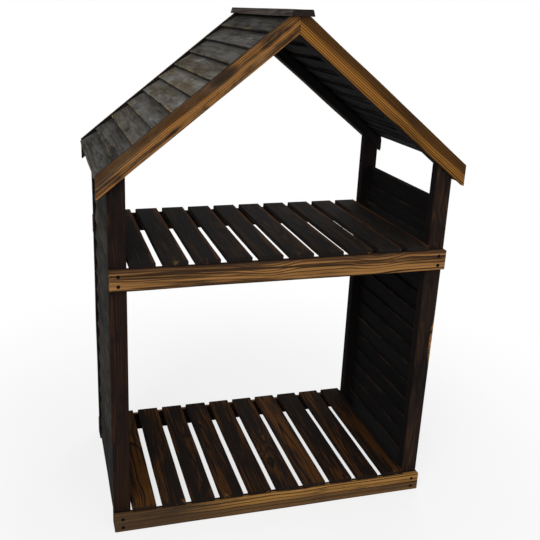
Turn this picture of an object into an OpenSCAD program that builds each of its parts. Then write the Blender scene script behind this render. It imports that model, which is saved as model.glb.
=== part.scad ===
// Open log store: four posts, two slatted decks, lapped side walls and a lapped gable roof.
// Millimetres, +Z up, origin on the ground at the middle of the store, front towards -Y.

/* [Overall] */
// Clear width between the left and right posts
bay_w = 815; // [600:5:1200]
// Depth over the outer faces of the front and back rails
store_d = 505; // [380:5:800]
// Height of the gable boards' lower edge where the two slopes meet
ridge_h = 1315; // [1150:5:1800]
// Pitch of the roof in degrees
roof_pitch = 38.5; // [30:0.5:45]
// Reach of the roof past the outer faces of the posts
eave_reach = 26; // [15:1:60]

/* [Frame] */
// Width of a post, left to right
post_w = 45; // [32:1:70]
// Depth of a post, front to back
post_d = 30; // [20:1:60]
// Height of a rail
rail_h = 55; // [40:1:90]
// Thickness of a rail
rail_t = 18; // [12:1:30]
// Height of the shelf rails' lower edge as a share of the posts' outer height
shelf_share = 0.737; // [0.55:0.001:0.78]

/* [Decks] */
// Width of a slat
slat_w = 66; // [40:1:100]
// Least gap between two slats
slat_gap = 14; // [8:1:40]
// Thickness of a slat
slat_t = 13; // [8:1:25]
// Clearance between an outer slat and the post beside it
slat_side_gap = 4; // [0.5:0.5:15]
// Distance from the rail's outer face to the slat's end
slat_setback = 5; // [0:1:10]

/* [Boards] */
// Width of a lapped board
board_w = 72; // [60:1:100]
// Thickness of a lapped board
board_t = 8; // [6:0.5:12]
// Least overlap of one board on the next
board_lap = 12; // [8:1:25]
// Open height between a wall's upper edge and the top of the posts' outer faces
eave_vent = 63; // [30:1:150]
// Distance from the posts' outer faces to the wall boards' outermost edges
wall_inset = 3; // [1:0.5:10]
// Height of the side walls' lower edge above the ground
wall_foot = 12; // [2:1:30]

/* [Roof] */
// Width of a gable board, square to its length
gable_w = 45; // [40:1:80]
// Thickness of a gable board
gable_t = 18; // [12:1:30]
// Height of the gable board's upper edge over the highest edge of the roof boards
gable_proud = 1; // [0.5:0.5:6]
// Depth of a rafter, front to back
rafter_d = 30; // [20:1:50]
// Distance from the gable board's lower end to the rafter's lower end
rafter_setback = 14; // [5:1:40]
// Height of the ridge cap's underside over the peak of the rafters
cap_seat = 5; // [2:0.5:9]
// Width of the ridge cap's underside
cap_w = 60; // [50:1:120]
// Thickness of the ridge cap
cap_t = 16; // [12:1:30]
// Width taken off each side of the cap by its bevel
cap_bevel = 5; // [2:1:12]
// Reach of the ridge cap past the gable boards
cap_reach = 15; // [5:1:40]

/* [Hidden] */
// Clearance between boards that lap, butt or lie on the frame
fit_gap = 0.3;

// Frame lines, measured from the middle
post_in = bay_w / 2;
post_out = post_in + post_w;
front_y = -store_d / 2;
post_front_y = front_y + rail_t;
deck_len = store_d - 2 * slat_setback;
board_len = store_d - 2 * rail_t;
wall_front_y = post_front_y + post_d + fit_gap;
rail_len = 2 * post_out;
deck_w = bay_w - 2 * slat_side_gap;
slat_count = floor((deck_w + slat_gap) / (slat_w + slat_gap));
slat_pitch = (deck_w - slat_w) / (slat_count - 1);

// Lapped boards: each one leans on the next, so its lean follows from the step between them
board_step_max = board_w - board_lap;
function board_count(run) = ceil(run / board_step_max) + 1;
function board_lean(step) = asin((board_t + fit_gap) / step);

function board_step(run) = run / (board_count(run) - 1);
function board_rise(run) = board_w * sin(board_lean(board_step(run)))
    + board_t * cos(board_lean(board_step(run))) + fit_gap;

// Roof lines
eave_x = post_out + eave_reach;
roof_run = eave_x / cos(roof_pitch) - board_w - tan(roof_pitch) * board_w * board_t / board_step_max;
rafter_h = gable_w - gable_proud - board_rise(roof_run);
rafter_peak_z = ridge_h + rafter_h / cos(roof_pitch);
cap_z = rafter_peak_z + cap_seat;

function under_roof_z(x) = ridge_h - x * tan(roof_pitch);

// Heights that follow from the posts' outer height
post_h = under_roof_z(post_out);
shelf_z = shelf_share * post_h;
floor_deck_z = rail_h;
shelf_deck_z = shelf_z + rail_h;
wall_run = post_h - eave_vent - wall_foot - board_w;

function slat_name(deck, i) = str(deck, "_slat_", i < 10 ? "0" : "", i);

post_colour = [0.20, 0.14, 0.11];
rail_colour = [0.46, 0.31, 0.16];
slat_colour = [0.16, 0.13, 0.11];
wall_colour = [0.22, 0.21, 0.20];
roof_colour = [0.29, 0.29, 0.27];
gable_colour = [0.48, 0.31, 0.14];
cap_colour = [0.21, 0.19, 0.17];

// A drawing in the X-Z plane carried back along Y from y0 over a length
module run_back(y0, len) {
    translate([0, y0 + len, 0]) rotate([90, 0, 0]) linear_extrude(height = len) children();
}

// Turns a right-hand piece into a left-hand one, or a front piece into a back one
module on_side(left = false, back = false) {
    mirror([left ? 1 : 0, 0, 0]) mirror([0, back ? 1 : 0, 0]) children();
}

// A sloping bar with plumb ends, from x0 to x1, whose lower edge is the underside of the roof
module plumb_bar(x0, x1, depth) {
    plumb = depth / cos(roof_pitch);
    polygon([
        [x0, under_roof_z(x0)], [x1, under_roof_z(x1)],
        [x1, under_roof_z(x1) + plumb], [x0, under_roof_z(x0) + plumb]]);
}

// Front right post, its top cut to the slope of the rafter that it carries
module post() {
    color(post_colour) run_back(post_front_y, post_d)
        polygon([
            [post_in, 0], [post_out, 0],
            [post_out, post_h], [post_in, under_roof_z(post_in)]]);
}

// Front rail with its lower edge at height z, across the faces of the posts
module rail(z) {
    color(rail_colour) translate([-rail_len / 2, front_y, z]) cube([rail_len, rail_t, rail_h]);
}

// One slat of the deck that lies on the rails at height z, counted from the left
module slat(i, z) {
    left_x = slat_side_gap - post_in + (i - 1) * slat_pitch;
    color(slat_colour) translate([left_x, front_y + slat_setback, z]) cube([slat_w, deck_len, slat_t]);
}

// Right wall: boards fitted between the posts, each one leaning out over the board below
module wall_boards() {
    lean = board_lean(board_step(wall_run));
    head_x = post_out - wall_inset - board_rise(wall_run);
    color(wall_colour) for (i = [0:board_count(wall_run) - 1])
        run_back(wall_front_y, -2 * wall_front_y)
            translate([head_x, wall_foot + board_w + i * board_step(wall_run)])
                rotate(lean) translate([0, -board_w]) square([board_t, board_w]);
}

// Front right rafter behind the gable board
module rafter() {
    color(post_colour) run_back(post_front_y, rafter_d)
        plumb_bar(fit_gap / 2, eave_x - rafter_setback, rafter_h);
}

// Everything in a drawing that lies over a height at the ridge
module over_ridge(z) {
    translate([-eave_x, z]) square([2 * eave_x, ridge_h]);
}

// Right slope: boards across the rafters, each lower edge on the next board, the top one cut for the cap
module roof_boards() {
    lean = board_lean(board_step(roof_run));
    color(roof_colour) for (i = [0:board_count(roof_run) - 1])
        run_back(post_front_y + fit_gap, board_len - 2 * fit_gap) difference() {
            translate([0, rafter_peak_z]) rotate(-roof_pitch)
                translate([fit_gap + i * board_step(roof_run), fit_gap])
                    rotate(lean) square([board_w, board_t]);
            over_ridge(cap_z - fit_gap);
        }
}

// Front right gable board, butted to its fellow at the peak and trimmed flat for the cap
module gable_board() {
    color(gable_colour) run_back(post_front_y - gable_t, gable_t) difference() {
        plumb_bar(fit_gap / 2, eave_x, gable_w);
        over_ridge(cap_z);
    }
}

// Bevelled plank along the ridge, resting on the trimmed peaks of the gable boards
module ridge_cap() {
    half_w = cap_w / 2;
    top_half_w = half_w - cap_bevel;
    color(cap_colour) run_back(post_front_y - gable_t - cap_reach, board_len + 2 * (gable_t + cap_reach))
        polygon([
            [-half_w, cap_z], [half_w, cap_z],
            [top_half_w, cap_z + cap_t], [-top_half_w, cap_z + cap_t]]);
}

on_side(left = true) post();  // front_left_post
post();  // front_right_post
on_side(left = true, back = true) post();  // back_left_post
on_side(back = true) post();  // back_right_post

rail(0);  // front_floor_rail
on_side(back = true) rail(0);  // back_floor_rail
rail(shelf_z);  // front_shelf_rail
on_side(back = true) rail(shelf_z);  // back_shelf_rail

for (i = [1:slat_count]) {
    slat(i, floor_deck_z);
    slat(i, shelf_deck_z);
}

on_side(left = true) wall_boards();  // left_wall_boards
wall_boards();  // right_wall_boards

on_side(left = true) rafter();  // front_left_rafter
rafter();  // front_right_rafter
on_side(left = true, back = true) rafter();  // back_left_rafter
on_side(back = true) rafter();  // back_right_rafter

on_side(left = true) roof_boards();  // left_roof_boards
roof_boards();  // right_roof_boards

on_side(left = true) gable_board();  // front_left_gable_board
gable_board();  // front_right_gable_board
on_side(left = true, back = true) gable_board();  // back_left_gable_board
on_side(back = true) gable_board();  // back_right_gable_board

ridge_cap();
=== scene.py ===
"""Looks of the log store: scorched softwood boards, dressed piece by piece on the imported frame.

Metres, +Z up, front towards -Y. Every timber is a rounded board profile carried along its length.
"""

import logging
import math
import zlib
from collections.abc import Callable
from dataclasses import dataclass, field, replace
from enum import Enum

import bpy
import numpy as np
from mathutils import Matrix, Vector

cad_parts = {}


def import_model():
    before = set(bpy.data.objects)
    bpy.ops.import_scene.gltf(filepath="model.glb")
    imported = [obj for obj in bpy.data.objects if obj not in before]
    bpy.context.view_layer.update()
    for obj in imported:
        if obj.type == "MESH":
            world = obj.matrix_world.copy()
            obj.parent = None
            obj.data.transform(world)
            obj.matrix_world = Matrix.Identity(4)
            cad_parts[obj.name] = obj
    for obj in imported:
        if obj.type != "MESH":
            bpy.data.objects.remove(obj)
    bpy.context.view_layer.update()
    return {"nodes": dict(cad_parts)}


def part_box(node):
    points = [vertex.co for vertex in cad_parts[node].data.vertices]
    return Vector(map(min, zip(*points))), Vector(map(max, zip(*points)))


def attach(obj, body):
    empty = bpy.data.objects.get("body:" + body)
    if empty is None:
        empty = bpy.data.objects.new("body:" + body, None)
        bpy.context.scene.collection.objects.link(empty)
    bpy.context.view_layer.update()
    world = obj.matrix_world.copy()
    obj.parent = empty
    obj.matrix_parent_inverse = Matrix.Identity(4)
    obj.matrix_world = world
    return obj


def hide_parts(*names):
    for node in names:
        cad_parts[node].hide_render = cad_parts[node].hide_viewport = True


LOG = logging.getLogger("log_store")
BODY = "root"
ROOF_PITCH = math.radians(38.5)

Array = np.ndarray
Faces = list[list[int]]
Colour = tuple[float, float, float]
Rgba = tuple[float, float, float, float]
Place = tuple[float, float, float]
Cut = tuple[float, float]
Limits = tuple[float, float]
Socket = bpy.types.NodeSocket
Value = float | tuple[float, ...] | Socket


class Sawn(Enum):
    """How a board was cut from the trunk, which sets the run of its grain."""

    FLAT = "flat"
    QUARTER = "quarter"
    RIFT = "rift"


class Facing(Enum):
    """Which faces of a board keep their full colour; with OUTER, the others get painted shade."""

    ALL = "all"
    OUTER = "outer"


@dataclass(frozen=True)
class Spot:
    """A mark on a board: an ellipse placed and sized in shares of the board's length and width."""

    along: float
    across: float
    half_length: float
    half_width: float
    colour: Colour
    share: float = 0.85
    broken: bool = False


@dataclass(frozen=True)
class Finish:
    """Scorched and brushed softwood in one shade.

    Colours are sRGB. Early wood is the soft, brushed-out part of a growth ring and late wood the hard line.
    Places along and across a board and shares of a colour go from 0 to 1, and widths are metres.
    A run is a pattern's pace along the trunk as a share of its pace across: a small run is a long streak.
    """

    name: str
    slot: str
    early: Colour
    late: Colour
    char: Colour
    char_share: float
    char_run: float = 0.3
    ring_width: float = 0.0045
    ring_contrast: float = 0.85
    ring_vary: float = 0.85
    wander: float = 0.026
    streaks: float = 0.5
    streak_run: float = 0.045
    dark_band: float = 0.0
    band_below: bool = False
    band: Colour = (0.2, 0.13, 0.08)
    band_start: float = -1.0
    spot: Spot | None = None
    # Colour and share of the darkening towards the board's far end
    far_end_colour: Colour = (0.225, 0.18, 0.142)
    far_end_darkening: float = 0.0
    tint: Colour = (0.25, 0.2, 0.12)
    tint_share: float = 0.0
    worn: Colour = (0.5, 0.42, 0.25)
    worn_edge: float = 0.0
    worn_ends: float = 0.0
    burnt_ends: float = 0.0
    # Share of the painted shade, with grime, under each board's lap
    lap_shade_and_grime: float = 0.0
    weather: Colour = (0.3, 0.3, 0.29)
    weather_share: float = 0.0
    weather_run: float = 0.3
    facing: Facing = Facing.ALL
    outer_from: float = 0.3
    # Colour of the painted shade on the faces that look inwards
    inner: Colour = (0.075, 0.066, 0.064)
    ledge: Colour = (0.2, 0.15, 0.11)
    ledge_share: float = 0.0
    tone_spread: float = 0.25
    roughness: float = 0.88
    gloss: float = 0.04
    relief: float = 0.0006


# Shades of the timbers

POST = Finish(
    "post_scorched", "post_wood",
    early=(0.115, 0.085, 0.076), late=(0.24, 0.15, 0.094), char=(0.098, 0.078, 0.073), char_share=0.4,
    ring_width=0.0036, ring_contrast=0.75, wander=0.018, streaks=0.3, tone_spread=0.15,
    facing=Facing.OUTER, outer_from=0.76, inner=(0.085, 0.07, 0.066))
POST_CHIPPED = replace(
    POST, name="post_chipped", early=(0.135, 0.106, 0.094), late=(0.25, 0.17, 0.115),
    wander=0.04, ring_contrast=0.9,
    spot=Spot(along=0.495, across=-0.04, half_length=0.13, half_width=0.38,
              colour=(0.66, 0.48, 0.28), share=0.95, broken=True))
SHELF_RAIL = Finish(
    "shelf_rail_honey", "rail_wood",
    early=(0.6, 0.428, 0.245), late=(0.105, 0.075, 0.054), char=(0.215, 0.155, 0.11), char_share=0.35,
    char_run=0.08, ring_width=0.0085, ring_contrast=1.0, ring_vary=0.55, wander=0.02,
    streaks=0.8, streak_run=0.016, worn=(0.66, 0.47, 0.26), worn_ends=0.6,
    dark_band=0.1, band=(0.25, 0.175, 0.125), tone_spread=0.1, facing=Facing.OUTER)
FLOOR_RAIL = Finish(
    "floor_rail_brown", "rail_wood",
    early=(0.64, 0.465, 0.25), late=(0.1, 0.076, 0.052), char=(0.2, 0.157, 0.115), char_share=0.34,
    ring_width=0.0105, ring_contrast=1.0, ring_vary=0.3, wander=0.007, streaks=0.85, streak_run=0.01,
    dark_band=0.5, band_below=True, band=(0.3, 0.222, 0.155), far_end_darkening=0.85,
    tone_spread=0.1, facing=Facing.OUTER)
SHELF_SLAT = Finish(
    "shelf_slat_black", "slat_wood",
    early=(0.195, 0.15, 0.112), late=(0.086, 0.077, 0.073), char=(0.115, 0.103, 0.099), char_share=0.62,
    char_run=0.12, ring_width=0.007, ring_contrast=1.0, worn=(0.44, 0.33, 0.2), worn_ends=0.5,
    burnt_ends=0.85, dark_band=0.12, band=(0.31, 0.195, 0.1), tone_spread=0.35)
FLOOR_SLAT = Finish(
    "floor_slat_black", "slat_wood",
    early=(0.3, 0.188, 0.09), late=(0.088, 0.068, 0.056), char=(0.115, 0.09, 0.079), char_share=0.6,
    char_run=0.09, ring_width=0.0075, ring_contrast=1.0, worn=(0.48, 0.34, 0.18), worn_ends=0.6,
    burnt_ends=0.85, tone_spread=0.7)
BROWN_SLAT = replace(
    FLOOR_SLAT, name="floor_slat_brown", early=(0.335, 0.208, 0.086), char_share=0.36, tone_spread=0.3)
WALL = Finish(
    "wall_charcoal", "wall_wood",
    early=(0.145, 0.138, 0.134), late=(0.066, 0.064, 0.063), char=(0.08, 0.078, 0.077), char_share=0.52,
    streaks=0.8, weather=(0.285, 0.285, 0.28), weather_share=0.85, worn=(0.34, 0.31, 0.27), worn_edge=0.8,
    tint=(0.17, 0.14, 0.1), tint_share=0.5, lap_shade_and_grime=0.6, facing=Facing.OUTER,
    inner=(0.07, 0.064, 0.067), ledge_share=0.8, tone_spread=0.7)
ROOF = Finish(
    "roof_weathered", "roof_wood",
    early=(0.38, 0.367, 0.338), late=(0.17, 0.166, 0.16), char=(0.185, 0.182, 0.176), char_share=0.42,
    streaks=0.5, weather=(0.63, 0.63, 0.625), weather_share=0.85, weather_run=0.2,
    worn=(0.56, 0.48, 0.31), worn_edge=0.9, tint=(0.38, 0.325, 0.225), tint_share=1.0, lap_shade_and_grime=0.6,
    facing=Facing.OUTER, inner=(0.066, 0.062, 0.066), tone_spread=0.9)
RAFTER = Finish(
    "rafter_black", "post_wood",
    early=(0.135, 0.12, 0.118), late=(0.095, 0.086, 0.088), char=(0.105, 0.096, 0.098), char_share=0.7)
GABLE_SMUDGED = Finish(
    "gable_smudged", "gable_wood",
    early=(0.56, 0.385, 0.2), late=(0.13, 0.082, 0.042), char=(0.15, 0.12, 0.1), char_share=0.43,
    ring_width=0.0046, ring_contrast=1.0, ring_vary=0.4, wander=0.009, streaks=0.8, streak_run=0.02,
    dark_band=0.42, band=(0.18, 0.125, 0.082), band_start=0.26,
    spot=Spot(along=0.36, across=0.22, half_length=0.111, half_width=0.4545, colour=(0.15, 0.12, 0.1)),
    weather=(0.5, 0.43, 0.35), weather_share=0.5,
    facing=Facing.OUTER, inner=(0.09, 0.083, 0.084), tone_spread=0.1)
GABLE_STRIPED = Finish(
    "gable_striped", "gable_wood",
    early=(0.57, 0.385, 0.17), late=(0.08, 0.046, 0.018), char=(0.17, 0.122, 0.08), char_share=0.27,
    ring_width=0.005, ring_contrast=1.0, ring_vary=0.2, wander=0.004, streaks=0.5, streak_run=0.014,
    dark_band=0.5, band=(0.2, 0.132, 0.068),
    facing=Facing.OUTER, inner=(0.09, 0.083, 0.084), tone_spread=0.1)
CAP = Finish(
    "cap_dark", "cap_wood",
    early=(0.32, 0.285, 0.26), late=(0.17, 0.152, 0.147), char=(0.12, 0.095, 0.088), char_share=0.35,
    burnt_ends=0.9, weather=(0.38, 0.37, 0.36), weather_share=0.5, tone_spread=0.1)


def linear(colour: Colour) -> Rgba:
    """Turns an sRGB colour into the linear RGBA that a shader socket takes, by the standard's own curve.

    Args:
        colour: sRGB channels from 0 to 1.

    Returns:
        Linear channels with an alpha of 1.
    """
    c = np.asarray(colour, float)
    lin = np.where(c <= 0.04045, c / 12.92, ((c + 0.055) / 1.055) ** 2.4)
    return (*[float(x) for x in lin], 1.0)


@dataclass(frozen=True)
class Ramp:
    """A smooth step from bottom to top as a value goes from low to high."""

    low: float
    high: float
    bottom: float = 0.0
    top: float = 1.0

    def times(self, share: float) -> "Ramp":
        """Returns the step with both its ends scaled by a share."""
        return replace(self, bottom=self.bottom * share, top=self.top * share)

    def moved(self, place: float) -> "Ramp":
        """Returns the step moved along by a place."""
        return replace(self, low=self.low + place, high=self.high + place)


@dataclass(frozen=True)
class Noise:
    """A noise: its run along the third axis, its pace per metre, its detail and its roughness."""

    run: float
    scale: float
    detail: float = 2.0
    rough: float = 0.5


# Numbers of the Mix node's colour sockets
MIX_FIRST = 6
MIX_SECOND = 7
MIX_RESULT = 2


class Graph:
    """A node tree, with short calls for the nodes that the finishes use."""

    def __init__(self, owner: bpy.types.Material | bpy.types.World) -> None:
        """Empties the owner's node tree.

        Args:
            owner: the material or world that the tree belongs to.
        """
        owner.use_nodes = True
        self.owner = owner
        self.tree = owner.node_tree
        self.tree.nodes.clear()

    def put(self, socket: Socket, value: Value) -> None:
        """Links a socket to another, or sets its own value.

        Args:
            socket: the socket to feed.
            value: another node's output, or a plain value.
        """
        if isinstance(value, Socket):
            self.tree.links.new(value, socket)
        else:
            socket.default_value = value

    def node(self, kind: str, *feeds: Value, **settings: object) -> bpy.types.Node:
        """Adds a node.

        Args:
            kind: the node's type, without the part that all types share.
            feeds: what goes into its first sockets, in order.
            settings: properties to set on it.

        Returns:
            The new node.
        """
        made = self.tree.nodes.new("ShaderNode" + kind)
        for key, value in settings.items():
            setattr(made, key, value)
        for socket, value in zip(made.inputs, feeds):
            self.put(socket, value)
        return made

    def math(self, operation: str, a: Value, b: Value = 0.0) -> Socket:
        """Returns the result of one arithmetic step on two values."""
        return self.node("Math", a, b, operation=operation).outputs[0]

    def add(self, a: Value, b: Value) -> Socket:
        """Returns a plus b."""
        return self.math("ADD", a, b)

    def minus(self, a: Value, b: Value) -> Socket:
        """Returns a minus b."""
        return self.math("SUBTRACT", a, b)

    def times(self, a: Value, b: Value) -> Socket:
        """Returns a times b."""
        return self.math("MULTIPLY", a, b)

    def scaled(self, vector: Socket, factors: Place) -> Socket:
        """Returns a vector with each part multiplied by its factor."""
        return self.node("VectorMath", vector, factors, operation="MULTIPLY").outputs[0]

    def length(self, vector: Socket) -> Socket:
        """Returns the length of a vector."""
        return self.node("VectorMath", vector, operation="LENGTH").outputs["Value"]

    def attribute(self, name: str) -> bpy.types.Node:
        """Returns a node that reads one of the mesh's own attributes."""
        return self.node("Attribute", attribute_name=name)

    def noise(self, place: Socket, noise: Noise) -> Socket:
        """Adds a noise.

        Args:
            place: where it is read.
            noise: its run, pace and detail.

        Returns:
            A value around 0.5.
        """
        made = self.node("TexNoise")
        self.put(made.inputs["Vector"], self.scaled(place, (1.0, 1.0, noise.run)))
        self.put(made.inputs["Scale"], noise.scale)
        self.put(made.inputs["Detail"], noise.detail)
        self.put(made.inputs["Roughness"], noise.rough)
        return made.outputs["Fac"]

    def ramp(self, value: Value, ramp: Ramp) -> Socket:
        """Returns a value taken through a smooth step."""
        feeds = value, ramp.low, ramp.high, ramp.bottom, ramp.top
        return self.node("MapRange", *feeds, interpolation_type="SMOOTHSTEP").outputs[0]

    def mix(self, share: Value, a: Value, b: Value) -> Socket:
        """Adds a mix of two colours.

        Args:
            share: how much of the second one shows.
            a: the first colour.
            b: the second colour.

        Returns:
            The mixed colour.
        """
        made = self.node("Mix", data_type="RGBA")
        self.put(made.inputs["Factor"], share)
        self.put(made.inputs[MIX_FIRST], a)
        self.put(made.inputs[MIX_SECOND], b)
        return made.outputs[MIX_RESULT]

    def blend(self, share: Value, a: Socket, b: Socket) -> Socket:
        """Returns shader a with a share of shader b in it."""
        return self.node("MixShader", share, a, b).outputs[0]

    def output(self, shader: Socket, kind: str = "OutputMaterial") -> None:
        """Wires a shader to the owner's surface."""
        self.put(self.node(kind).inputs["Surface"], shader)


# Patterns in the trunk: rings, knots, fibres, streaks and blotches
FROM_PITH = (1.0, 1.0, 0.0)
TRUNK_BEND = Noise(run=0.16, scale=17.0)
KNOT_CELLS = (5.0, 5.0, 3.2)
KNOT_HALO = Ramp(0.05, 0.34, 1.0, 0.0)
KNOT_HEART = Ramp(0.05, 0.09, 1.0, 0.0)
KNOT_PUSH = 0.77
RING_RISE = Ramp(0.5, 0.85)
RING_FALL = Ramp(0.94, 1.0, 1.0, 0.0)
RING_STRENGTH = Ramp(0.05, 0.8)
FIBRE = Noise(run=0.02, scale=900.0, detail=3.0, rough=0.6)
STREAK = Noise(run=0.045, scale=150.0, detail=3.0, rough=0.6)
STREAK_STEP = Ramp(0.47, 0.64)
BLOTCH = Noise(run=0.3, scale=24.0, detail=4.0, rough=0.62)
PATCHES = Noise(run=0.35, scale=31.0, detail=4.0, rough=0.6)

# Char: blotches and streaks together, past an edge that falls as the share grows
CHAR_BLOTCH = 0.6
CHAR_STREAK = 0.4
CHAR_HIGHEST = 0.68
CHAR_FALL = 0.36
CHAR_STEP = Ramp(-0.06, 0.08)

# Darker far end, tint and dark band
FAR_END_STEP = Ramp(0.52, 0.86)
TINT_STEP = Ramp(0.3, 0.6, 0.4, 1.0)
BAND_DRIFT = Noise(run=5.0, scale=0.62)
BAND_DRIFT_SHARE = 0.5
BAND_RAGGED = 0.35
BAND_STEP = Ramp(-0.06, 0.06, 0.8, 0.0)
BAND_BEGIN = Ramp(0.0, 0.16, 0.25, 1.0)

# Weather, grime and wear, and painted shade under the laps and on inner faces, by place across the board
# and distance from its middle
FADE = Noise(run=0.3, scale=26.0, detail=6.0, rough=0.66)
FADE_STEP = Ramp(0.42, 0.68)
SCUFF_STEP = Ramp(0.52, 0.72, 0.35, 1.0)
UNDER_LAP = Ramp(0.16, 0.42, 1.0, 0.0)
LOWER_EDGE = Ramp(0.985, 0.995, 0.0, 0.9)
EDGE_STRIP = Ramp(0.92, 0.975)
EDGE_LIP = Ramp(0.988, 0.996, 1.0, 0.25)
EDGE_RUB = Ramp(0.46, 0.6)
END_GRAIN = Ramp(0.496, 0.4995)
END_STRIP = Ramp(0.47, 0.497)
END_CHIPS = Ramp(0.6, 0.68)
SPOT_RAGGED = 0.6
SPOT_STEP = Ramp(0.35, 0.85, 1.0, 0.0)
SPOT_BREAKS = Noise(run=0.5, scale=260.0)
SPOT_BREAK_STEP = Ramp(0.44, 0.54)
INNER_STREAK = Ramp(0.4, 0.75, 0.0, 0.35)
LEDGE_STRIP = Ramp(0.03, 0.1, 1.0, 0.0)
LEDGE_RUB = Ramp(0.44, 0.6)
OUTER_STEP = Ramp(0.0, 0.18)

# Shade, relief and roughness of the bare surface
FIBRE_DARKEST = 0.75
FIBRE_SPREAD = 0.5
LATE_RELIEF = 0.7
FIBRE_RELIEF = 0.5
RELIEF_STRENGTH = 0.8
ROUGH_SPREAD = 0.16


class WoodGraph(Graph):
    """The node tree of one wood finish, laid on layer by layer from the sawn board outwards."""

    def __init__(self, finish: Finish) -> None:
        """Reads a board's own attributes and makes the patterns that several layers share.

        Args:
            finish: the shade to build.
        """
        super().__init__(bpy.data.materials.new(finish.name))
        self.finish = finish
        self.trunk = self.attribute("trunk").outputs["Vector"]
        place = self.node("SeparateXYZ", self.attribute("place").outputs["Vector"])
        self.along, self.across, self.seed = place.outputs
        self.fibre = self.noise(self.trunk, FIBRE)
        self.streak = self.noise(self.trunk, replace(STREAK, run=finish.streak_run))
        self.blotch = self.noise(self.trunk, replace(BLOTCH, run=finish.char_run))
        self.knot = self.knot_distance()
        self.late = self.late_wood()
        ring_share = self.times(self.late, finish.ring_contrast)
        self.colour = self.mix(ring_share, linear(finish.early), linear(finish.late))

    def knot_distance(self) -> Socket:
        """Scatters knots through the trunk as cells.

        Returns:
            The distance from the nearest knot, in cells.
        """
        cells = self.node("TexVoronoi", feature="F1")
        self.put(cells.inputs["Vector"], self.scaled(self.trunk, KNOT_CELLS))
        self.put(cells.inputs["Scale"], 1.0)
        return cells.outputs["Distance"]

    def late_wood(self) -> Socket:
        """Makes the growth rings.

        Rings are equal steps of the distance from the pith, bent by slow noise along the trunk and pushed
        aside round knots. Each ring has a strength of its own.

        Returns:
            1 on the hard line of a strong ring and 0 on early wood.
        """
        finish = self.finish
        radius = self.length(self.scaled(self.trunk, FROM_PITH))
        bent = self.add(radius, self.times(self.noise(self.trunk, TRUNK_BEND), finish.wander))
        bent = self.add(bent, self.times(self.ramp(self.knot, KNOT_HALO), KNOT_PUSH * finish.wander))
        ring = self.math("DIVIDE", bent, finish.ring_width)
        turn = self.math("FRACT", ring)
        line = self.times(self.ramp(turn, RING_RISE), self.ramp(turn, RING_FALL))
        chance = self.node("TexWhiteNoise", noise_dimensions="1D")
        self.put(chance.inputs["W"], self.math("FLOOR", ring))
        strength = replace(RING_STRENGTH, bottom=1.0 - finish.ring_vary)
        return self.times(line, self.ramp(chance.outputs["Value"], strength))

    def paint(self, share: Value, colour: Colour) -> None:
        """Lays a share of a colour over what is there."""
        self.colour = self.mix(share, self.colour, linear(colour))

    def patches(self, ramp: Ramp) -> Socket:
        """Returns the patchy share of a board that rubbing or weather reached."""
        return self.ramp(self.noise(self.trunk, PATCHES), ramp)

    def near_ends(self, ramp: Ramp) -> Socket:
        """Returns a step of the distance from the board's middle, which is 0.5 at its ends."""
        return self.ramp(self.math("ABSOLUTE", self.minus(self.along, 0.5)), ramp)

    def scorch(self) -> None:
        """Lays on the dark streaks, the knots and the charred blotches."""
        finish = self.finish
        self.paint(self.ramp(self.streak, STREAK_STEP.times(finish.streaks)), finish.late)
        self.paint(self.ramp(self.knot, KNOT_HEART), finish.char)
        charred = self.add(self.times(self.blotch, CHAR_BLOTCH), self.times(self.streak, CHAR_STREAK))
        edge = CHAR_HIGHEST - CHAR_FALL * finish.char_share
        self.paint(self.ramp(charred, CHAR_STEP.moved(edge)), finish.char)

    def darken_far_end(self) -> None:
        """Darkens the board towards its far end."""
        self.paint(self.ramp(self.along, FAR_END_STEP.times(self.finish.far_end_darkening)), self.finish.far_end_colour)

    def tint(self) -> None:
        """Tints the board unevenly, more on boards of a higher tone."""
        own_share = self.times(self.seed, self.finish.tint_share)
        self.paint(self.times(own_share, self.ramp(self.blotch, TINT_STEP)), self.finish.tint)

    def darken_band(self) -> None:
        """Lays a ragged band along the upper or the lower edge, which drifts along the board."""
        finish = self.finish
        from_edge = self.minus(1.0, self.across) if finish.band_below else self.across
        ragged = self.add(from_edge, self.times(self.minus(self.streak, 0.5), BAND_RAGGED))
        drift = self.minus(self.noise(self.trunk, BAND_DRIFT), 0.5)
        ragged = self.add(ragged, self.times(drift, BAND_DRIFT_SHARE))
        in_band = self.ramp(ragged, BAND_STEP.moved(finish.dark_band))
        begun = self.ramp(self.along, BAND_BEGIN.moved(finish.band_start))
        self.paint(self.times(in_band, begun), finish.band)

    def bleach(self) -> None:
        """Lays on the pale bloom of the weather, strongest in scuffed patches."""
        finish = self.finish
        faded = self.ramp(self.noise(self.trunk, replace(FADE, run=finish.weather_run)), FADE_STEP)
        scuffed = self.times(self.patches(SCUFF_STEP), finish.weather_share)
        self.paint(self.times(faded, scuffed), finish.weather)

    def shade_and_soil_laps(self) -> None:
        """Paints shade, with grime, on the strip that lies under the next board's lap, and darkens the
        lower edge.
        """
        under_lap = self.ramp(self.across, UNDER_LAP.times(self.finish.lap_shade_and_grime))
        lower_edge = self.ramp(self.across, LOWER_EDGE)
        self.paint(self.math("MAXIMUM", under_lap, lower_edge), self.finish.char)

    def rub_edge(self) -> None:
        """Rubs the lower edge pale in patches."""
        strip = self.times(self.ramp(self.across, EDGE_STRIP), self.ramp(self.across, EDGE_LIP))
        rubbed = self.patches(EDGE_RUB.times(self.finish.worn_edge))
        self.paint(self.times(strip, rubbed), self.finish.worn)

    def burn_ends(self) -> None:
        """Darkens the end grain."""
        self.paint(self.near_ends(END_GRAIN.times(self.finish.burnt_ends)), self.finish.char)

    def chip_ends(self) -> None:
        """Lays pale chips along the ends' edges."""
        chips = self.patches(END_CHIPS.times(self.finish.worn_ends))
        self.paint(self.times(self.near_ends(END_STRIP), chips), self.finish.worn)

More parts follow.
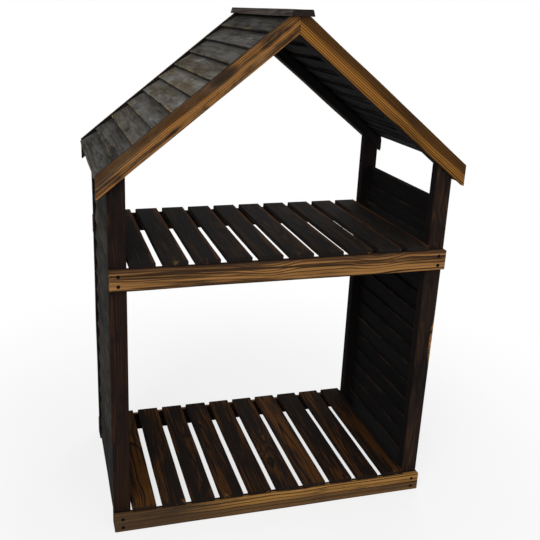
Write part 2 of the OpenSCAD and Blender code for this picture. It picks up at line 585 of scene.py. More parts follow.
    def mark(self, spot: Spot) -> None:
        """Lays on one mark: an ellipse whose rim is made ragged by the streaks.

        Args:
            spot: the mark's place, size and colour.
        """
        off_along = self.math("DIVIDE", self.minus(self.along, spot.along), spot.half_length)
        off_across = self.math("DIVIDE", self.minus(self.across, spot.across), spot.half_width)
        off = self.add(self.math("POWER", off_along, 2.0), self.math("POWER", off_across, 2.0))
        off = self.add(off, self.times(self.streak, SPOT_RAGGED))
        share = self.ramp(off, SPOT_STEP.times(spot.share))
        if spot.broken:
            share = self.times(share, self.ramp(self.noise(self.trunk, SPOT_BREAKS), SPOT_BREAK_STEP))
        self.paint(share, spot.colour)

    def shade_inside(self) -> None:
        """Paints shade on the faces that look inwards, with brown upper edges if the finish has them."""
        finish = self.finish
        weathered = self.colour
        self.colour = self.mix(self.ramp(self.streak, INNER_STREAK), linear(finish.inner), weathered)
        if finish.ledge_share > 0.0:
            rubbed = self.patches(LEDGE_RUB.times(finish.ledge_share))
            self.paint(self.times(self.ramp(self.across, LEDGE_STRIP), rubbed), finish.ledge)
        face = self.attribute("face").outputs["Fac"]
        outer = self.ramp(face, OUTER_STEP.moved(finish.outer_from))
        self.colour = self.mix(outer, self.colour, weathered)

    def surface(self) -> None:
        """Adds the shader: the colour by the board's tone and fibres, with late wood and fibres raised."""
        finish = self.finish
        tone = self.add(1.0 - finish.tone_spread / 2, self.times(self.seed, finish.tone_spread))
        grain = self.add(FIBRE_DARKEST, self.times(self.fibre, FIBRE_SPREAD))
        shade = self.node("VectorMath", operation="SCALE")
        self.put(shade.inputs[0], self.colour)
        self.put(shade.inputs["Scale"], self.times(tone, grain))
        bump = self.node("Bump")
        self.put(bump.inputs["Strength"], RELIEF_STRENGTH)
        self.put(bump.inputs["Distance"], finish.relief)
        height = self.add(self.times(self.late, LATE_RELIEF), self.times(self.fibre, FIBRE_RELIEF))
        self.put(bump.inputs["Height"], height)
        rough = self.add(finish.roughness - ROUGH_SPREAD / 2, self.times(self.streak, ROUGH_SPREAD))
        wood = self.node("BsdfPrincipled")
        self.put(wood.inputs["Base Color"], shade.outputs["Vector"])
        self.put(wood.inputs["Roughness"], rough)
        self.put(wood.inputs["Specular IOR Level"], finish.gloss)
        self.put(wood.inputs["Normal"], bump.outputs["Normal"])
        self.output(wood.outputs["BSDF"])

    def build(self) -> bpy.types.Material:
        """Lays on the layers that the finish has, in order.

        Returns:
            The finished material.
        """
        finish = self.finish
        self.scorch()
        # The lap layer paints shade, with grime, under each board's lap
        layers = (
            (finish.far_end_darkening, self.darken_far_end), (finish.tint_share, self.tint),
            (finish.dark_band, self.darken_band), (finish.weather_share, self.bleach),
            (finish.lap_shade_and_grime, self.shade_and_soil_laps), (finish.worn_edge, self.rub_edge),
            (finish.burnt_ends, self.burn_ends), (finish.worn_ends, self.chip_ends))
        for share, lay_on in layers:
            if share > 0.0:
                lay_on()
        if finish.spot is not None:
            self.mark(finish.spot)
        # Painted shade on the faces that look inwards
        if finish.facing is Facing.OUTER:
            self.shade_inside()
        self.surface()
        return self.owner


@dataclass(frozen=True)
class Pith:
    """Limits of where the pith lies beside a board, and of how far it runs askew for each metre along."""

    across: Limits
    deep: Limits
    skew_across: Limits
    skew_deep: Limits


@dataclass(frozen=True)
class Ripple:
    """A slow and a quick wave along a board that make a sawn edge or face uneven."""

    slow: float
    quick: float
    quick_share: float
    twist: float = 0.0

    def height(self, share: Array, across: Array, pace: Array, start: Array) -> Array:
        """Adds up the two sines, the slow one shifted across the board by the twist.

        Args:
            share: place along the board, from 0 to 1.
            across: distance across the board.
            pace: the pace of each wave.
            start: the phase of each wave.

        Returns:
            The waves' height, about 1 at most.
        """
        slow = np.sin(self.slow * pace[0] * share + start[0] + self.twist * across)
        return slow + self.quick_share * np.sin(self.quick * pace[1] * share + start[1])


# Faults of a sawn board
PITHS = {
    Sawn.FLAT: Pith(
        across=(-0.3, 0.3), deep=(0.02, 0.06), skew_across=(-0.02, 0.02), skew_deep=(0.015, 0.045)),
    Sawn.QUARTER: Pith(
        across=(0.03, 0.09), deep=(-0.01, 0.01), skew_across=(-0.006, 0.006), skew_deep=(-0.01, 0.01)),
    Sawn.RIFT: Pith(
        across=(0.4, 0.7), deep=(0.015, 0.04), skew_across=(-0.015, 0.015), skew_deep=(-0.02, 0.02)),
}
EITHER_SIDE = (-1.0, 1.0)
TRUNK_LENGTH = 40.0
EDGE_RIPPLE = Ripple(slow=2.0, quick=5.0, quick_share=0.6)
FACE_RIPPLE = Ripple(slow=2.0, quick=6.0, quick_share=0.5, twist=12.0)
RIPPLE_DRAWS = 6
RIPPLE_PACE = (1.5, 5.0)
EDGE_POWER = 3
FACE_SHARE = 0.5
NICK_PLACE = (0.03, 0.97)
NICK_WIDTH = (0.006, 0.02)
NICK_DEPTH = (0.0006, 0.0022)
NICK_POWER = 8

# Points of a board's section and stations in its rounded ends
ARC_POINTS = 4
FACE_POINTS = 12
EDGE_POINTS = 4
LEAST_ROUND = 0.15
LIP_STATIONS = (0.0, 0.3, 1.0)

# Attributes that a board's mesh carries, with their kind and their channel
BOARD_ATTRIBUTES = {
    "trunk": ("FLOAT_VECTOR", "vector"),
    "place": ("FLOAT_VECTOR", "vector"),
    "face": ("FLOAT", "value"),
}


def tube_faces(rings: int, around: int) -> tuple[Array, Array]:
    """Numbers the faces of rings of points that stand one after another.

    Args:
        rings: the number of rings.
        around: the points in each ring.

    Returns:
        The quads between rings, and the polygons that close the first and the last ring.
    """
    grid = np.arange(rings * around).reshape(rings, around)
    turned = np.roll(grid, -1, axis=1)
    quads = np.stack([grid[:-1], turned[:-1], turned[1:], grid[1:]], axis=-1).reshape(-1, 4)
    return quads, np.stack([grid[0][::-1], grid[-1]])


@dataclass
class Board:
    """One timber: a rounded rectangle carried along its length, with cut ends and small faults.

    The section spans width along `across` and thickness along `out`, about the line through `origin`.
    A cut is a pair (offset, slope): the end's place along the length is offset + slope * distance across.
    A tone of 0.5 leaves the finish's shade as it is, and without a tone the board gets one by chance.
    """

    name: str
    origin: Array
    across: Array
    out: Array
    width: float
    thickness: float
    start_cuts: tuple[Cut, ...]
    end_cuts: tuple[Cut, ...]
    sawn: Sawn = Sawn.FLAT
    corner: float = 0.0012
    wobble: float = 0.0004
    bevel: float = 0.0
    nicks: int = 0
    stations: int = 40
    tone: float | None = None

    @property
    def along(self) -> Array:
        """The direction of the board's length."""
        return np.cross(self.across, self.out)

    def spacing(self) -> tuple[Array, Array]:
        """Places the stations along the board, close together in its rounded ends.

        The section is drawn in at the ends by a quarter circle of the corner's radius.

        Returns:
            Each station's share of the length, and how far the section is drawn in there.
        """
        length = min(cut[0] for cut in self.end_cuts) - max(cut[0] for cut in self.start_cuts)
        lip = self.corner / length
        rounded = lip * np.array(LIP_STATIONS)
        body = np.linspace(2 * lip, 1 - 2 * lip, self.stations)
        share = np.concatenate([rounded, body, 1 - rounded[::-1]])
        within = np.maximum(self.corner - np.minimum(share, 1 - share) * length, 0.0)
        return share, self.corner - np.sqrt(np.maximum(self.corner**2 - within**2, 0.0))

    def section(self, inset: Array) -> tuple[Array, Array]:
        """Works out the rounded section at each station.

        Each point is a corner's centre plus a quarter-circle offset, and the flats run between the centres.
        One face and one edge are laid out, and the others are the same with both signs turned.

        Args:
            inset: how far the section is drawn in at each station.

        Returns:
            Arrays (station, point) of the distance across and the distance out.
        """
        turn = np.linspace(0.0, math.pi / 2, ARC_POINTS)
        face = np.linspace(1.0, -1.0, FACE_POINTS)[1:-1]
        edge = np.linspace(1.0, -1.0, EDGE_POINTS)[1:-1]
        half = np.stack([
            np.concatenate([np.ones(turn.size), face, -np.ones(turn.size + edge.size)]),
            np.concatenate([np.ones(turn.size + face.size + turn.size), edge]),
            np.concatenate([np.cos(turn), np.zeros(face.size), -np.sin(turn), -np.ones(edge.size)]),
            np.concatenate([np.sin(turn), np.ones(face.size), np.cos(turn), np.zeros(edge.size)])])
        centre_v, centre_n, round_v, round_n = np.concatenate([half, -half], axis=1)
        radius = np.maximum(self.corner - inset, self.corner * LEAST_ROUND)[:, None]
        half_width = (self.width / 2 - inset)[:, None]
        half_thickness = (self.thickness / 2 - inset)[:, None]
        return (centre_v * (half_width - radius) + round_v * radius,
                centre_n * (half_thickness - radius) + round_n * radius)

    def roughen(self, rng: np.random.Generator, share: Array, v: Array, n: Array) -> tuple[Array, Array]:
        """Bevels the sides, makes edges and faces uneven and dents one edge.

        The bevel grows from the back face to the front face. Ripples grow towards the edges and the faces,
        and a nick is a bell curve along the edge.

        Args:
            rng: the board's own random source.
            share: place along the board, from 0 to 1.
            v: distance across it.
            n: distance out of its middle.

        Returns:
            The new distances across and out.
        """
        start = rng.uniform(0, 2 * math.pi, RIPPLE_DRAWS)
        pace = rng.uniform(*RIPPLE_PACE, RIPPLE_DRAWS)
        edge_wave = EDGE_RIPPLE.height(share, v, pace[:2], start[:2])
        face_wave = FACE_RIPPLE.height(share, v, pace[2:], start[2:])
        toward = v / (self.width / 2)
        v = v - self.bevel * toward * (n / self.thickness + 0.5)
        v = v + self.wobble * edge_wave * toward**EDGE_POWER
        n = n + self.wobble * FACE_SHARE * face_wave * (n / (self.thickness / 2))
        for _ in range(self.nicks):
            place, wide, deep = (rng.uniform(*limits) for limits in (NICK_PLACE, NICK_WIDTH, NICK_DEPTH))
            dent = deep * np.exp(-(((share - place) / wide) ** 2))
            v = v - dent * np.clip(toward, 0.0, 1.0) ** NICK_POWER
        return v, n

    def in_trunk(self, rng: np.random.Generator, u: Array, v: Array, n: Array) -> Array:
        """Places the board's points in the trunk that it was cut from.

        The pith is a straight line beside the board, slightly askew, so rings run out along the faces.

        Args:
            rng: the board's own random source.
            u: distance along the board.
            v: distance across it.
            n: distance out of its middle.

        Returns:
            Points with the pith on the third axis.
        """
        pith = PITHS[self.sawn]
        side = rng.choice(EITHER_SIDE)
        pith_v = rng.uniform(*pith.across)
        pith_n = rng.uniform(*pith.deep)
        skew_v = rng.uniform(*pith.skew_across)
        if self.sawn is Sawn.FLAT:
            pith_v, pith_n = pith_v * self.width, side * pith_n
            skew_n = rng.choice(EITHER_SIDE) * rng.uniform(*pith.skew_deep)
        else:
            pith_v = side * (self.width / 2 + pith_v if self.sawn is Sawn.QUARTER else pith_v * self.width)
            skew_n = rng.uniform(*pith.skew_deep)
        shift = rng.uniform(0.0, TRUNK_LENGTH)
        return np.stack([v - pith_v + skew_v * u, n - pith_n + skew_n * u, u + shift], axis=-1)

    def build(self) -> dict[str, Array]:
        """Works out the board's surface and its grain.

        A point's place along runs evenly from the start cuts to the end cuts at its distance across.
        Nothing reaches below the ground.

        Returns:
            Arrays of points, quads, the two end polygons, and the attributes trunk, place and face.
        """
        rng = np.random.default_rng(zlib.crc32(self.name.encode()))
        share, inset = self.spacing()
        plain_v, plain_n = self.section(inset)
        s = np.broadcast_to(share[:, None], plain_v.shape)
        v, n = self.roughen(rng, s, plain_v, plain_n)
        start = np.max([offset + slope * v for offset, slope in self.start_cuts], axis=0)
        end = np.min([offset + slope * v for offset, slope in self.end_cuts], axis=0)
        u = start + s * (end - start)
        points = self.origin + np.stack([u, v, n], axis=-1) @ np.stack([self.along, self.across, self.out])
        points[..., 2] = np.maximum(points[..., 2], 0.0)
        trunk = self.in_trunk(rng, u, v, n)
        chance = rng.uniform()
        tone = np.full(v.shape, chance if self.tone is None else self.tone)
        quads, ends = tube_faces(*v.shape)
        return {
            "points": points.reshape(-1, 3),
            "quads": quads,
            "ends": ends,
            "trunk": trunk.reshape(-1, 3),
            "place": np.stack([s, plain_v / self.width + 0.5, tone], axis=-1).reshape(-1, 3),
            "face": (n / self.thickness + 0.5).reshape(-1),
        }


def add_object(name: str, data: bpy.types.ID) -> bpy.types.Object:
    """Adds an object to the scene.

    Args:
        name: its name.
        data: its mesh, camera or light.

    Returns:
        The new object.
    """
    made = bpy.data.objects.new(name, data)
    bpy.context.scene.collection.objects.link(made)
    return made


def add_mesh(name: str, points: Array, faces: Faces, dress: bpy.types.Material) -> bpy.types.Object:
    """Adds an object with a mesh of its own.

    Args:
        name: its name and its mesh's.
        points: its vertices.
        faces: the numbers of each face's vertices.
        dress: its material.

    Returns:
        The new object.
    """
    mesh = bpy.data.meshes.new(name)
    mesh.from_pydata(points.tolist(), [], faces)
    mesh.materials.append(dress)
    return add_object(name, mesh)


class WoodShop:
    """Makes each wood finish once and joins boards into pieces."""

    def __init__(self) -> None:
        """Starts with no materials."""
        self.made: dict[str, bpy.types.Material] = {}

    def material(self, finish: Finish) -> bpy.types.Material:
        """Hands out the material of a finish, made on first use.

        Args:
            finish: the shade.

        Returns:
            Its material.
        """
        if finish.name not in self.made:
            self.made[finish.name] = WoodGraph(finish).build()
        return self.made[finish.name]

    def join(self, name: str, boards: list[Board], finish: Finish, node: str) -> None:
        """Joins boards into one mesh that stands for a CAD node.

        Args:
            name: the new piece's name.
            boards: the timbers in it.
            finish: their shade.
            node: the CAD node that it stands for.
        """
        parts = [board.build() for board in boards]
        firsts = np.cumsum([0] + [len(part["points"]) for part in parts])
        faces: Faces = []
        smooth: list[Array] = []
        for part, first in zip(parts, firsts):
            faces += (part["quads"] + first).tolist() + (part["ends"] + first).tolist()
            smooth += [np.ones(len(part["quads"]), bool), np.zeros(len(part["ends"]), bool)]
        points = np.concatenate([part["points"] for part in parts])
        piece = add_mesh(name, points, faces, self.material(finish))
        mesh = piece.data
        mesh.polygons.foreach_set("use_smooth", np.concatenate(smooth))
        for key, (kind, channel) in BOARD_ATTRIBUTES.items():
            values = np.concatenate([part[key] for part in parts]).astype(np.float32)
            mesh.attributes.new(key, kind, "POINT").data.foreach_set(channel, values.ravel())
        mesh.update()
        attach(piece, BODY)
        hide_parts(node)
        LOG.info("%s: %d timbers, %d faces", name, len(boards), len(faces))


def unit(x: float, y: float, z: float) -> Array:
    """Returns a direction as a unit array."""
    d = np.array([x, y, z], float)
    return d / np.linalg.norm(d)


def corners(node: str) -> tuple[Array, Array]:
    """Returns a CAD node's lowest and highest corner as arrays."""
    low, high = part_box(node)
    return np.array(low), np.array(high)


def square_ends(length: float) -> dict[str, tuple[Cut, ...]]:
    """Returns the cuts of a board with square ends, as Board takes them."""
    return {"start_cuts": ((-length / 2, 0.0),), "end_cuts": ((length / 2, 0.0),)}


def boxed_board(node: str, across: Array, out: Array, **details: object) -> Board:
    """Fits a board with square ends into a CAD node's box.

    Args:
        node: the CAD node.
        across: the direction of the board's width.
        out: the direction of its thickness.
        details: further fields of the board.

    Returns:
        The board.
    """
    low, high = corners(node)
    axes = np.abs([across, out, np.cross(across, out)])
    width, thickness, length = axes @ (high - low)
    return Board(node, (low + high) / 2, across, out, width, thickness, **square_ends(length), **details)


@dataclass
class Lapping:
    """A run of boards that lean on one another."""

    width: float = 0.072
    thickness: float = 0.008
    gap: float = 0.0003
    rounds: int = 8

    def lean(self, step: float) -> float:
        """Returns the lean in radians of boards set at a step: the sine is thickness over step."""
        return math.asin((self.thickness + self.gap) / step)

    def settle(self, run_at: Callable[[float], float], count: int) -> tuple[float, float]:
        """Finds the step and the lean that suit each other, by working out one from the other in turn.

        Args:
            run_at: gives the run from the first board to the last one for boards at a lean.
            count: the number of boards.

        Returns:
            The step in metres and the lean in radians.
        """
        step = self.width
        for _ in range(self.rounds):
            lean = self.lean(step)
            step = run_at(lean) / (count - 1)
        return step, lean


@dataclass
class PostsAndRails:
    """Four posts and four rails, each a single timber."""

    shop: WoodShop
    post_nodes: tuple[str, ...] = (
        "front_left_post", "front_right_post", "back_left_post", "back_right_post")
    own_finish: dict[str, Finish] = field(default_factory=lambda: {"front_right_post": POST_CHIPPED})
    rail_finish: dict[str, Finish] = field(
        default_factory=lambda: {"floor": FLOOR_RAIL, "shelf": SHELF_RAIL})
    post_corner: float = 0.002
    post_stations: int = 70
    rail_corner: float = 0.0016
    rail_stations: int = 80

    def build_post(self, node: str) -> None:
        """Stands one post up, with its top cut to the roof's slope.

        Args:
            node: the CAD node that it stands for.
        """
        low, high = corners(node)
        middle, size = (low + high) / 2, high - low
        right, back = math.copysign(1.0, middle[0]), math.copysign(1.0, middle[1])
        slope = math.tan(ROOF_PITCH)
        mid_top = high[2] - size[0] / 2 * slope
        post = Board(
            node, middle * (1.0, 1.0, 0.0), unit(back, 0, 0), unit(0, back, 0), size[0], size[1],
            start_cuts=((low[2], 0.0),), end_cuts=((mid_top, -slope * right * back),),
            sawn=Sawn.FLAT if right > 0 else Sawn.RIFT,
            corner=self.post_corner, stations=self.post_stations)
        self.shop.join(node + "_timber", [post], self.own_finish.get(node, POST), node)

    def build_rail(self, node: str, finish: Finish) -> None:
        """Lays one rail across the posts.

        Args:
            node: the CAD node that it stands for.
            finish: its shade.
        """
        low, high = corners(node)
        rail = boxed_board(
            node, unit(0, 0, -1), unit(0, low[1] + high[1], 0),
            sawn=Sawn.RIFT, corner=self.rail_corner, stations=self.rail_stations)
        self.shop.join(node + "_timber", [rail], finish, node)

    def build(self) -> None:
        """Builds all posts and rails."""
        for node in self.post_nodes:
            self.build_post(node)
        for end in ("front", "back"):
            for deck, finish in self.rail_finish.items():
                self.build_rail(f"{end}_{deck}_rail", finish)


@dataclass
class Decks:
    """The slats of the floor and the shelf."""

    shop: WoodShop
    nodes: list[str]
    brown: tuple[str, ...] = ("floor_slat_01",)
    corner: float = 0.0022
    wobble: float = 0.00025
    stations: int = 48

    def finish_of(self, node: str) -> Finish:
        """Picks the finish of one slat.

        Args:
            node: the slat's CAD node.

        Returns:
            Its shade.
        """
        if node in self.brown:
            return BROWN_SLAT
        return FLOOR_SLAT if node.startswith("floor") else SHELF_SLAT

    def build(self) -> None:
        """Lays every slat on its rails."""
        for node in self.nodes:
            slat = boxed_board(
                node, unit(-1, 0, 0), unit(0, 0, 1),
                corner=self.corner, wobble=self.wobble, stations=self.stations)
            self.shop.join(node + "_timber", [slat], self.finish_of(node), node)


@dataclass
class SideWall:
    """One wall of lapped boards between the posts, every third one flat sawn."""

    shop: WoodShop
    side: str
    board_count: int = 15
    corner: float = 0.001
    nicks: int = 3
    flat_every: int = 3
    lapping: Lapping = field(default_factory=Lapping)

    def build(self) -> None:
        """Fits the boards between the posts, each lower edge over the board below."""
        node = f"{self.side}_wall_boards"
        low, high = corners(node)
        sign = -1.0 if self.side == "left" else 1.0
        lap = self.lapping

        def run_at(lean: float) -> float:
            """Returns the wall's height less that of one leaning board."""
            return high[2] - low[2] - lap.width * math.cos(lean) - lap.thickness * math.sin(lean)

        step, lean = lap.settle(run_at, self.board_count)
        head_x = min(abs(low[0]), abs(high[0]))
        down = unit(sign * math.sin(lean), 0, -math.cos(lean))
        out = unit(sign * math.cos(lean), 0, math.sin(lean))
        boards = []
        for i in range(self.board_count):
            head = np.array([sign * head_x, 0.0, low[2] + lap.width * math.cos(lean) + i * step])
            centre = head + down * lap.width / 2 + out * lap.thickness / 2
            boards.append(Board(
                f"{node}_{i}", centre, down, out, lap.width, lap.thickness, **square_ends(high[1] - low[1]),
                sawn=Sawn.RIFT if i % self.flat_every else Sawn.FLAT, corner=self.corner, nicks=self.nicks))
        self.shop.join(node.replace("boards", "cladding"), boards, WALL, node)


@dataclass
class Roof:
    """Both slopes: rafters, lapped boards, gable boards and the ridge cap."""

    shop: WoodShop
    board_count: int = 10
    board_corner: float = 0.001
    board_wobble: float = 0.0005
    board_nicks: int = 5
    board_stations: int = 48
    gable_width: float = 0.045
    gable_finish: dict[str, Finish] = field(
        default_factory=lambda: {"left": GABLE_SMUDGED, "right": GABLE_STRIPED})
    bar_corner: float = 0.0015
    bar_stations: int = 64
    cap_bevel: float = 0.005
    cap_corner: float = 0.0016
    cap_stations: int = 56
    tones: tuple[float, ...] = (-0.1, 0.1, 0.18, 0.39, 0.54, 0.43, 0.2, 0.28, 0.06, 0.08)
    first_tone: dict[str, int] = field(default_factory=lambda: {"left": 0, "right": 3})
    lapping: Lapping = field(default_factory=Lapping)

    def down_slope(self, sign: float) -> Array:
        """Returns the direction down one slope."""
        return unit(sign * math.cos(ROOF_PITCH), 0, -math.sin(ROOF_PITCH))

    def off_slope(self, sign: float) -> Array:
        """Returns the direction square to one slope, upwards."""
        return unit(sign * math.sin(ROOF_PITCH), 0, math.cos(ROOF_PITCH))

    def build_bar(self, node: str, depth: float, finish: Finish, flat_top: float | None = None) -> None:
        """Lays a sloping bar with plumb ends, a rafter or a gable board, up to the middle of the roof.

        Args:
            node: the CAD node that it stands for.
            depth: its size square to the slope.
            finish: its shade.
            flat_top: the height at which its peak is trimmed, or None for a plain plumb end.
        """
        low, high = corners(node)
        sign, back = math.copysign(1.0, low[0] + high[0]), math.copysign(1.0, low[1] + high[1])
        far = max(abs(low[0]), abs(high[0]))
        down, up = self.down_slope(sign), self.off_slope(sign)
        foot = np.array([sign * far, (low[1] + high[1]) / 2, low[2]])
        run = far / math.cos(ROOF_PITCH)
        origin = foot - down * run + up * depth / 2
        slope = math.tan(ROOF_PITCH)
        top_cuts = [(-depth / 2 * slope, slope)]
        low_cuts = [(run - depth / 2 * slope, slope)]
        if flat_top is not None:
            top_cuts.append(((origin[2] - flat_top) / math.sin(ROOF_PITCH), -1 / slope))
        if sign * back > 0:
            cuts = tuple(top_cuts), tuple(low_cuts)
        else:
            cuts = tuple((-a, -b) for a, b in low_cuts), tuple((-a, -b) for a, b in top_cuts)
        bar = Board(
            node, origin, -up, unit(0, back, 0), depth, high[1] - low[1], *cuts,
            sawn=Sawn.QUARTER, corner=self.bar_corner, stations=self.bar_stations)
        self.shop.join(node + "_timber", [bar], finish, node)

    def build_boards(self, side: str) -> None:
        """Lays one slope's boards, each lower edge on the board below it, the top one cut for the cap.

        Args:
            side: left or right.
        """
        node = f"{side}_roof_boards"
        low, high = corners(node)
        sign = -1.0 if side == "left" else 1.0
        reach = max(abs(low[0]), abs(high[0]))
        rafter_low, rafter_high = corners(f"front_{side}_rafter")
        rafter_near = min(abs(rafter_low[0]), abs(rafter_high[0]))
        peak = np.array([0.0, 0.0, rafter_high[2] + rafter_near * math.tan(ROOF_PITCH)])
        cap_z = corners("ridge_cap")[0][2]
        lap = self.lapping

        def run_at(lean: float) -> float:
            """Works out the run that leaves the last board's outer corner at the eave.

            Args:
                lean: the boards' lean in radians.

            Returns:
                The run down the slope, from the first board to the last one.
            """
            tip_down = lap.width * math.cos(lean) - lap.thickness * math.sin(lean)
            tip_up = lap.width * math.sin(lean) + lap.thickness * math.cos(lean) + lap.gap
            return (reach - tip_up * math.sin(ROOF_PITCH)) / math.cos(ROOF_PITCH) - tip_down - lap.gap

        step, lean = lap.settle(run_at, self.board_count)
        down, up = self.down_slope(sign), self.off_slope(sign)
        fall = down * math.cos(lean) + up * math.sin(lean)
        lift = up * math.cos(lean) - down * math.sin(lean)
        boards = []
        for i in range(self.board_count):
            head = peak + down * (lap.gap + i * step) + up * lap.gap
            over_cap = (head + lift * lap.thickness)[2] - cap_z
            cut = max(0.0, over_cap / math.sin(ROOF_PITCH - lean))
            centre = head + fall * (lap.width + cut) / 2 + lift * lap.thickness / 2
            boards.append(Board(
                f"{node}_{i}", centre, fall, lift, lap.width - cut, lap.thickness,
                **square_ends(high[1] - low[1]),
                sawn=Sawn.FLAT if i % 2 else Sawn.RIFT, corner=self.board_corner, wobble=self.board_wobble,
                nicks=self.board_nicks, stations=self.board_stations,
                tone=self.tones[(self.first_tone[side] + i) % len(self.tones)]))
        self.shop.join(node.replace("boards", "cladding"), boards, ROOF, node)

    def build_cap(self) -> None:
        """Lays the ridge cap, a plank with bevelled sides."""
        cap = boxed_board(
            "ridge_cap", unit(-1, 0, 0), unit(0, 0, 1),
            corner=self.cap_corner, bevel=self.cap_bevel, stations=self.cap_stations)
        self.shop.join("ridge_cap_timber", [cap], CAP, "ridge_cap")

    def build(self) -> None:
        """Builds the whole roof. A rafter's depth is what its box leaves beside the slope."""
        cap_low, _ = corners("ridge_cap")
        rafter_low, rafter_high = corners("front_right_rafter")
        rafter_size = rafter_high - rafter_low
        rafter_depth = (rafter_size[2] - rafter_size[0] * math.tan(ROOF_PITCH)) * math.cos(ROOF_PITCH)
        for end in ("front", "back"):
            for side, finish in self.gable_finish.items():
                self.build_bar(f"{end}_{side}_rafter", rafter_depth, RAFTER)
                self.build_bar(f"{end}_{side}_gable_board", self.gable_width, finish, cap_low[2])
        for side in self.gable_finish:
            self.build_boards(side)
        self.build_cap()


@dataclass
class RailScrews:
    """Dark countersunk screws, two at each end of every rail, each turned a little past the last."""

    head_radius: float = 0.0046
    pole_share: float = 0.0002
    dome: float = 0.0005
    proud: float = 0.0006
    recess_arm: float = 0.0007
    recess_reach: float = 0.0026
    recess_depth: float = 0.0005
    rim_flare: float = 1.02
    rim_sink: float = 0.001
    from_end: float = 0.022
    heights: tuple[float, float] = (0.25, 0.72)
    turn_step: float = 0.7
    rings: int = 9
    spokes: int = 32
    black: Colour = (0.012, 0.011, 0.011)
    scuffed: Colour = (0.035, 0.032, 0.03)
    scuffs: Noise = Noise(run=1.0, scale=900.0, detail=3.0)
    scuff_step: Ramp = Ramp(0.5, 0.75)
    roughness: Ramp = Ramp(0.3, 0.7, 0.62, 0.4)
    gloss: float = 0.05

    def material(self) -> bpy.types.Material:
        """Makes blackened steel with small scuffs.

        Returns:
            The material.
        """
        g = Graph(bpy.data.materials.new("screw_blackened"))
        scuff = g.noise(g.node("TexCoord").outputs["Object"], self.scuffs)
        colour = g.mix(g.ramp(scuff, self.scuff_step), linear(self.black), linear(self.scuffed))
        steel = g.node("BsdfPrincipled")
        g.put(steel.inputs["Base Color"], colour)
        g.put(steel.inputs["Roughness"], g.ramp(scuff, self.roughness))
        g.put(steel.inputs["Specular IOR Level"], self.gloss)
        g.output(steel.outputs["BSDF"])
        return g.owner

    def head(self) -> Array:
        """Works out one head as height over radius and angle.

        The disc is slightly domed, and a cross-shaped recess sinks where either arm's width is passed.

        Returns:
            Rings of points from the middle outwards, with the third axis out of the rail.
        """
        radius = np.linspace(self.pole_share, 1.0, self.rings)[:, None] * self.head_radius
        angle = np.linspace(0, 2 * math.pi, self.spokes, endpoint=False)[None, :]
        x, y = radius * np.cos(angle), radius * np.sin(angle)
        dome = self.proud + self.dome * (1 - (radius / self.head_radius) ** 2)
        in_recess = (np.minimum(np.abs(x), np.abs(y)) < self.recess_arm) & (radius < self.recess_reach)
        z = np.where(in_recess, dome - self.recess_depth, dome)
        sunk = np.full(self.spokes, -self.rim_sink)
        rim = np.stack([self.rim_flare * x[-1], self.rim_flare * y[-1], sunk], axis=-1)
        return np.concatenate([np.stack([x, y, z], axis=-1), rim[None]]).reshape(-1, 3)

    def build_rail(self, end: str, deck: str, steel: bpy.types.Material) -> None:
        """Sets the screws of one rail as one mesh.

        Args:
            end: front or back.
            deck: floor or shelf.
            steel: the screws' material.
        """
        low, high = corners(f"{end}_{deck}_rail")
        sign, face_y = (-1.0, low[1]) if end == "front" else (1.0, high[1])
        shape = self.head()
        # Front faces are numbered the other way round, so that they look out of the rail
        order = slice(None, None, int(sign))
        quads, caps = (part[:, order] for part in tube_faces(self.rings + 1, self.spokes))
        points: list[Array] = []
        faces: Faces = []
        for x in (low[0] + self.from_end, high[0] - self.from_end):
            for share in self.heights:
                first = len(shape) * len(points)
                faces += (quads + first).tolist() + (caps + first).tolist()
                turn = self.turn_step * len(points)
                c, s = math.cos(turn), math.sin(turn)
                turned_x, turned_z = c * shape[:, 0] - s * shape[:, 1], s * shape[:, 0] + c * shape[:, 1]
                centre = np.array([x, face_y, low[2] + share * (high[2] - low[2])])
                points.append(centre + np.stack([turned_x, sign * shape[:, 2], turned_z], axis=-1))
        name = f"{end}_{deck}_rail_screws"
        piece = add_mesh(name, np.concatenate(points), faces, steel)
        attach(piece, BODY)
        LOG.info("%s: %d screws", name, len(points))

    def build(self) -> None:
        """Sets the screws of every rail."""
        steel = self.material()
        for end in ("front", "back"):
            for deck in ("floor", "shelf"):
                self.build_rail(end, deck, steel)


@dataclass(frozen=True)
class Lamp:
    """A square soft lamp: its place, the point that it faces, the length of its side and its power."""

    name: str
    place: Place
    aim: Place
    side: float
    watts: float


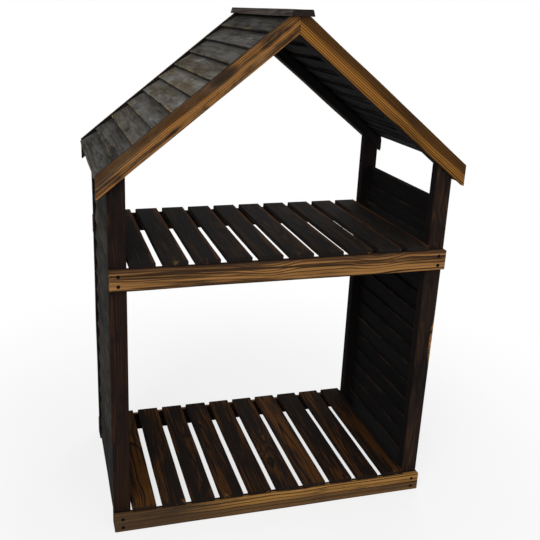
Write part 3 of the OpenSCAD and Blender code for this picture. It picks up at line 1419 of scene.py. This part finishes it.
@dataclass
class Studio:
    """The camera at the photograph's view, a pale floor and plain soft light."""

    image_side_px: int = 540
    eye: Place = (-0.6011, -1.8734, 1.3719)
    yaw_deg: float = 14.16
    pitch_deg: float = -17.73
    roll_deg: float = 1.34
    focal_px: float = 716.6
    centre_px: tuple[float, float] = (215.0, 235.0)
    sensor_mm: float = 36.0
    clip: Limits = (0.05, 300.0)
    floor_half: float = 60.0
    floor_colour: Rgba = (0.86, 0.86, 0.86, 1.0)
    floor_glow: Ramp = Ramp(0.5, 1.6, 0.78, 1.0)
    sky_colour: Rgba = (0.97, 0.98, 1.0, 1.0)
    sky_strength: float = 0.42
    backdrop_colour: Rgba = (1.0, 1.0, 1.0, 1.0)
    lamps: tuple[Lamp, ...] = (
        Lamp("key_lamp", (-2.2, -2.9, 3.0), (0.0, 0.0, 0.75), side=2.2, watts=85.0),
        Lamp("front_fill", (1.4, -3.2, 1.6), (0.0, 0.0, 0.7), side=2.0, watts=22.0),
        Lamp("back_fill", (2.4, 3.0, 2.6), (0.0, 0.0, 0.75), side=2.2, watts=45.0))

    def camera(self) -> None:
        """Makes the camera from its place, its three angles and its focal length in pixels."""
        yaw, pitch, roll = (math.radians(a) for a in (self.yaw_deg, self.pitch_deg, self.roll_deg))
        ahead = Vector((math.sin(yaw) * math.cos(pitch), math.cos(yaw) * math.cos(pitch), math.sin(pitch)))
        level = ahead.cross(Vector((0, 0, 1))).normalized()
        top = level.cross(ahead)
        right = level * math.cos(roll) + top * math.sin(roll)
        up = top * math.cos(roll) - level * math.sin(roll)
        data = bpy.data.cameras.new("photo_camera")
        data.sensor_width = self.sensor_mm
        data.lens = self.focal_px / self.image_side_px * self.sensor_mm
        data.shift_x = 0.5 - self.centre_px[0] / self.image_side_px
        data.shift_y = self.centre_px[1] / self.image_side_px - 0.5
        data.clip_start, data.clip_end = self.clip
        camera = add_object("photo_camera", data)
        camera.matrix_world = Matrix((
            (right.x, up.x, -ahead.x, self.eye[0]),
            (right.y, up.y, -ahead.y, self.eye[1]),
            (right.z, up.z, -ahead.z, self.eye[2]),
            (0, 0, 0, 1)))
        bpy.context.scene.camera = camera

    def hang(self, lamp: Lamp) -> None:
        """Hangs one lamp, turned to face its point.

        Args:
            lamp: the lamp's place, size and power.
        """
        data = bpy.data.lights.new(lamp.name, "AREA")
        data.size = lamp.side
        data.energy = lamp.watts
        light = add_object(lamp.name, data)
        light.location = lamp.place
        light.rotation_euler = (Vector(lamp.aim) - Vector(lamp.place)).to_track_quat("-Z", "Y").to_euler()

    def backdrop_share(self, g: Graph) -> Socket:
        """Tells rays that see the background from rays that carry light.

        Args:
            g: the tree that needs it.

        Returns:
            1 on rays that see the background directly, in a gloss or through glass, and 0 on others.
        """
        path = g.node("LightPath")
        seen = g.math("MAXIMUM", path.outputs["Is Camera Ray"], path.outputs["Is Glossy Ray"])
        return g.math("MAXIMUM", seen, path.outputs["Is Transmission Ray"])

    def world(self) -> None:
        """Makes a white backdrop that lights the object softly from all round."""
        world = bpy.data.worlds.new("studio_world")
        bpy.context.scene.world = world
        g = Graph(world)
        light = g.node("Background", self.sky_colour, self.sky_strength)
        white = g.node("Background", self.backdrop_colour)
        g.output(g.blend(self.backdrop_share(g), light.outputs[0], white.outputs[0]), "OutputWorld")

    def floor(self) -> None:
        """Lays a pale floor that keeps the object's shadow and blends into the white backdrop."""
        material = bpy.data.materials.new("studio_floor")
        g = Graph(material)
        matt = g.node("BsdfDiffuse", self.floor_colour)
        away = g.length(g.node("TexCoord").outputs["Object"])
        share = g.times(self.backdrop_share(g), g.ramp(away, self.floor_glow))
        g.output(g.blend(share, matt.outputs[0], g.node("Emission").outputs[0]))
        plan = np.array([(-1, -1, 0), (1, -1, 0), (1, 1, 0), (-1, 1, 0)])
        floor = add_mesh("studio_floor", self.floor_half * plan, [[0, 1, 2, 3]], material)

    def build(self) -> None:
        """Sets up the whole studio."""
        self.camera()
        self.world()
        self.floor()
        for lamp in self.lamps:
            self.hang(lamp)
        bpy.context.scene.view_settings.view_transform = "Standard"


def main() -> None:
    """Loads the frame, then builds the studio and every sub-assembly."""
    logging.basicConfig(level=logging.INFO, format="%(name)s %(message)s")
    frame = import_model()
    Studio().build()
    shop = WoodShop()
    PostsAndRails(shop).build()
    Decks(shop, sorted(name for name in frame["nodes"] if "_slat_" in name)).build()
    SideWall(shop, "left").build()
    SideWall(shop, "right").build()
    Roof(shop).build()
    RailScrews().build()


if __name__ == "__main__":
    main()
